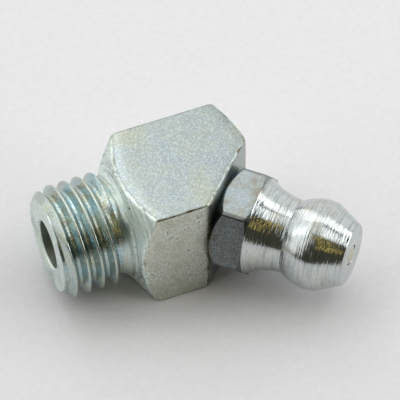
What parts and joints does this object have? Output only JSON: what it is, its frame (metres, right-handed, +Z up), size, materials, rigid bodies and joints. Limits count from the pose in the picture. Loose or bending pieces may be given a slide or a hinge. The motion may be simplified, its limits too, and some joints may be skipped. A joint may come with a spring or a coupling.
{
  "type": "angled grease nipple",
  "caption": "Angled grease nipple: threaded stud on a square bar body, with a hexagon-collared ball head set at forty-five degrees and a spring-loaded check ball in its mouth.",
  "frame": {"origin": "on the stud's axis, at the shoulder where the thread meets the bar", "axes": "-X along the threaded stud and out of it, +Z up and square to both axes, the head points halfway between +X and -Y"},
  "size_m": [0.0208, 0.0148, 0.0088],
  "materials": {
    "zinc_steel_body": "satin bluish zinc plating on milled and drawn steel",
    "zinc_steel_head": "bright zinc plating on turned steel",
    "bearing_steel": "polished hardened steel ball",
    "spring_steel": "drawn spring wire"
  },
  "bodies": {
    "nipple": {"angle_body": "zinc_steel_body", "nipple_head": "zinc_steel_head", "ball_spring": "spring_steel"},
    "ball": {"check_ball": "bearing_steel"}
  },
  "joints": [
    {"name": "check_ball_slide", "type": "slide", "parent": "nipple", "child": "ball", "axis": [-0.7071, 0.7071, 0], "range_m": [0, 0.0008], "stiffness_N_per_m": 150, "springref_m": -0.002, "deforming": ["ball_spring"]}
  ]
}
